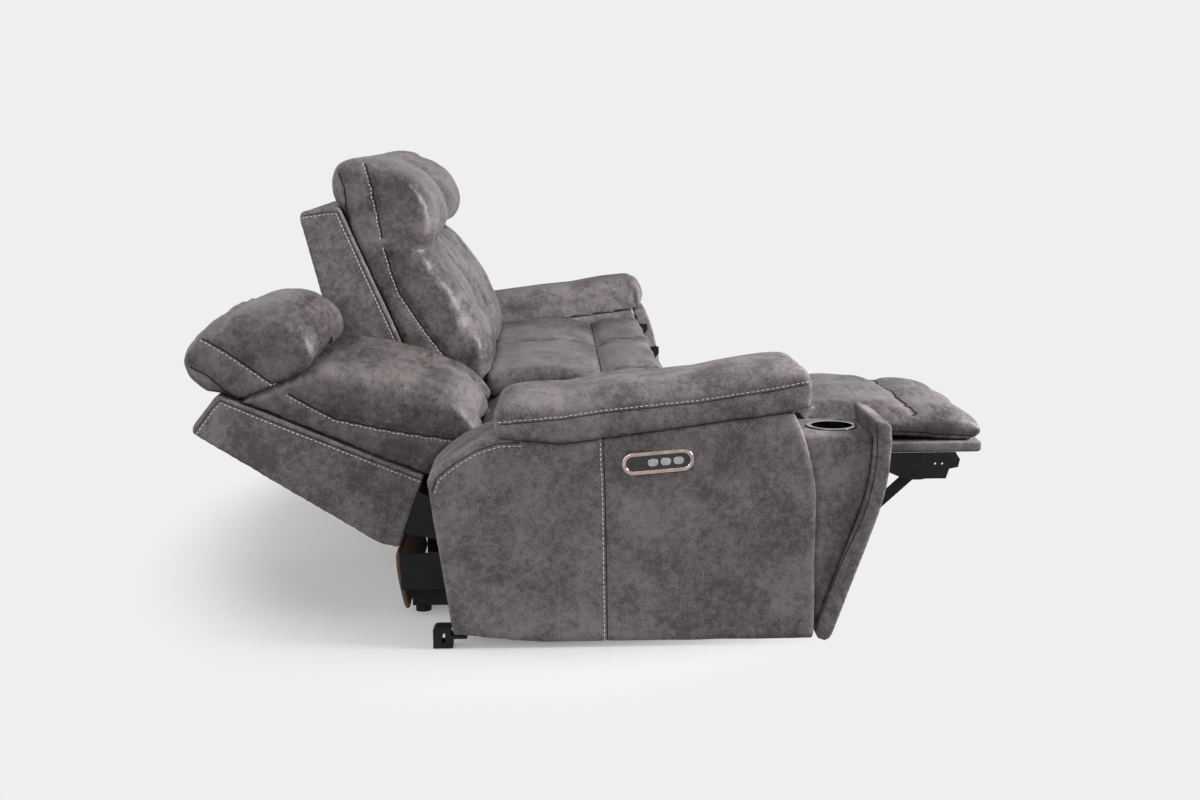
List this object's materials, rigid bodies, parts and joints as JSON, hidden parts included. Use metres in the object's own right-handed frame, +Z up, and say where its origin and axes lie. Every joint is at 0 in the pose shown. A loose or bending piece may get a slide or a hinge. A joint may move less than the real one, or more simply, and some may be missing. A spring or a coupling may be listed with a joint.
{
  "type": "power reclining sofa",
  "caption": "Reclining sofa with padded arms, power footrest and backs at both ends, tilting headrests and tilt-out cup holder consoles in the arm fronts.",
  "frame": {"origin": "floor point below the middle of the closed sofa", "axes": "+X along the sofa to the sitter's left, -Y to the front, +Z up"},
  "size_m": [2.21, 1.7846, 1.0174],
  "materials": {
    "side_suede": "matte",
    "seat_leather": "satin",
    "arm_upholstery": "matte",
    "deck_wood": "matte",
    "black_steel": "satin",
    "bezel_chrome": "gloss",
    "switch_plastic": "satin",
    "button_silver": "satin",
    "cup_steel": "polished",
    "motor_plastic": "matte"
  },
  "bodies": {
    "base": {"base_frame": "black_steel", "centre_seat_frame": "deck_wood", "centre_seat_cushion": "seat_leather", "centre_front_pad": "seat_leather", "centre_back_shell": "arm_upholstery", "centre_back_cushion": "seat_leather"},
    "right_unit": {"right_arm_frame": "arm_upholstery", "right_arm_pad": "side_suede", "right_arm_foot": "black_steel", "right_switch_bezel": "bezel_chrome", "right_switch_plate": "switch_plastic", "right_side_plates": "black_steel", "right_seat_deck": "deck_wood", "right_seat_cushion": "seat_leather", "right_recline_motor": "motor_plastic", "right_rear_apron": "arm_upholstery"},
    "right_back": {"right_back_shell": "arm_upholstery", "right_back_cushion": "seat_leather", "right_back_brackets": "black_steel"},
    "right_head": {"right_headrest": "seat_leather"},
    "right_footrest": {"right_footrest_board": "arm_upholstery", "right_footrest_pad": "seat_leather", "right_footrest_brackets": "black_steel", "right_footrest_spring": "black_steel"},
    "right_swing": {"right_swing_links": "black_steel"},
    "right_coupler": {"right_coupler_links": "black_steel"},
    "right_console": {"right_console_box": "arm_upholstery", "right_console_front": "arm_upholstery", "right_cup_holder": "cup_steel"},
    "right_power_button_key": {"right_power_button": "button_silver"},
    "right_open_button_key": {"right_open_button": "button_silver"},
    "right_close_button_key": {"right_close_button": "button_silver"},
    "right_headrest_button_key": {"right_headrest_button": "button_silver"},
    "left_unit": {"left_arm_frame": "arm_upholstery", "left_arm_pad": "side_suede", "left_arm_foot": "black_steel", "left_switch_bezel": "bezel_chrome", "left_switch_plate": "switch_plastic", "left_side_plates": "black_steel", "left_seat_deck": "deck_wood", "left_seat_cushion": "seat_leather", "left_recline_motor": "motor_plastic", "left_rear_apron": "arm_upholstery"},
    "left_back": {"left_back_shell": "arm_upholstery", "left_back_cushion": "seat_leather", "left_back_brackets": "black_steel"},
    "left_head": {"left_headrest": "seat_leather"},
    "left_footrest": {"left_footrest_board": "arm_upholstery", "left_footrest_pad": "seat_leather", "left_footrest_brackets": "black_steel", "left_footrest_spring": "black_steel"},
    "left_swing": {"left_swing_links": "black_steel"},
    "left_coupler": {"left_coupler_links": "black_steel"},
    "left_console": {"left_console_box": "arm_upholstery", "left_console_front": "arm_upholstery", "left_cup_holder": "cup_steel"},
    "left_power_button_key": {"left_power_button": "button_silver"},
    "left_open_button_key": {"left_open_button": "button_silver"},
    "left_close_button_key": {"left_close_button": "button_silver"},
    "left_headrest_button_key": {"left_headrest_button": "button_silver"}
  },
  "joints": [
    {"name": "right_slide", "type": "slide", "parent": "base", "child": "right_unit", "axis": [0, 1, 0], "range_m": [0, 0.24]},
    {"name": "right_recline", "type": "hinge", "parent": "right_unit", "child": "right_back", "pos_m": [-0.57, -0.085, 0.15], "axis": [1, 0, 0], "range_deg": [0, 44]},
    {"name": "right_headrest_tilt", "type": "hinge", "parent": "right_back", "child": "right_head", "pos_m": [-0.57, 0.42522, 0.57758], "axis": [1, 0, 0], "range_deg": [0, 30]},
    {"name": "right_footrest_swing", "type": "hinge", "parent": "right_unit", "child": "right_footrest", "pos_m": [-0.57, -0.667, 0.446], "axis": [1, 0, 0], "range_deg": [0, 90]},
    {"name": "right_link_swing", "type": "hinge", "parent": "right_unit", "child": "right_swing", "pos_m": [-0.57, -0.557, 0.346], "axis": [1, 0, 0], "range_deg": [0, 90]},
    {"name": "right_coupler_turn", "type": "hinge", "parent": "right_swing", "child": "right_coupler", "pos_m": [-0.57, -0.828, 0.216], "axis": [-1, 0, 0], "range_deg": [0, 90]},
    {"name": "right_console_tilt", "type": "hinge", "parent": "right_unit", "child": "right_console", "pos_m": [-0.98, -0.665, 0.03], "axis": [-1, 0, 0], "range_deg": [0, 20]},
    {"name": "right_power_button_press", "type": "slide", "parent": "right_unit", "child": "right_power_button_key", "axis": [1, 0, 0], "range_m": [0, 0.0015], "stiffness_N_per_m": 600},
    {"name": "right_open_button_press", "type": "slide", "parent": "right_unit", "child": "right_open_button_key", "axis": [1, 0, 0], "range_m": [0, 0.0015], "stiffness_N_per_m": 600},
    {"name": "right_close_button_press", "type": "slide", "parent": "right_unit", "child": "right_close_button_key", "axis": [1, 0, 0], "range_m": [0, 0.0015], "stiffness_N_per_m": 600},
    {"name": "right_headrest_button_press", "type": "slide", "parent": "right_unit", "child": "right_headrest_button_key", "axis": [1, 0, 0], "range_m": [0, 0.0015], "stiffness_N_per_m": 600},
    {"name": "left_slide", "type": "slide", "parent": "base", "child": "left_unit", "axis": [0, -1, 0], "range_m": [0, 0.24]},
    {"name": "left_recline", "type": "hinge", "parent": "left_unit", "child": "left_back", "pos_m": [0.57, 0.155, 0.15], "axis": [-1, 0, 0], "range_deg": [0, 44]},
    {"name": "left_headrest_tilt", "type": "hinge", "parent": "left_back", "child": "left_head", "pos_m": [0.57, 0.225, 0.812], "axis": [1, 0, 0], "range_deg": [0, 30]},
    {"name": "left_footrest_swing", "type": "hinge", "parent": "left_unit", "child": "left_footrest", "pos_m": [0.57, -0.427, 0.446], "axis": [-1, 0, 0], "range_deg": [0, 90]},
    {"name": "left_link_swing", "type": "hinge", "parent": "left_unit", "child": "left_swing", "pos_m": [0.57, -0.317, 0.346], "axis": [-1, 0, 0], "range_deg": [0, 90]},
    {"name": "left_coupler_turn", "type": "hinge", "parent": "left_swing", "child": "left_coupler", "pos_m": [0.57, -0.187, 0.075], "axis": [1, 0, 0], "range_deg": [0, 90]},
    {"name": "left_console_tilt", "type": "hinge", "parent": "left_unit", "child": "left_console", "pos_m": [0.98, -0.425, 0.03], "axis": [1, 0, 0], "range_deg": [0, 20]},
    {"name": "left_power_button_press", "type": "slide", "parent": "left_unit", "child": "left_power_button_key", "axis": [-1, 0, 0], "range_m": [0, 0.0015], "stiffness_N_per_m": 600},
    {"name": "left_open_button_press", "type": "slide", "parent": "left_unit", "child": "left_open_button_key", "axis": [-1, 0, 0], "range_m": [0, 0.0015], "stiffness_N_per_m": 600},
    {"name": "left_close_button_press", "type": "slide", "parent": "left_unit", "child": "left_close_button_key", "axis": [-1, 0, 0], "range_m": [0, 0.0015], "stiffness_N_per_m": 600},
    {"name": "left_headrest_button_press", "type": "slide", "parent": "left_unit", "child": "left_headrest_button_key", "axis": [-1, 0, 0], "range_m": [0, 0.0015], "stiffness_N_per_m": 600}
  ],
  "couplings": [
    {"joint": "right_recline", "follows": "right_slide", "rad_per_m": 3.1998},
    {"joint": "right_footrest_swing", "follows": "right_slide", "rad_per_m": 6.545},
    {"joint": "right_link_swing", "follows": "right_slide", "rad_per_m": 6.545},
    {"joint": "right_coupler_turn", "follows": "right_slide", "rad_per_m": 6.545},
    {"joint": "left_recline", "follows": "left_slide", "rad_per_m": 3.1998},
    {"joint": "left_footrest_swing", "follows": "left_slide", "rad_per_m": 6.545},
    {"joint": "left_link_swing", "follows": "left_slide", "rad_per_m": 6.545},
    {"joint": "left_coupler_turn", "follows": "left_slide", "rad_per_m": 6.545}
  ]
}
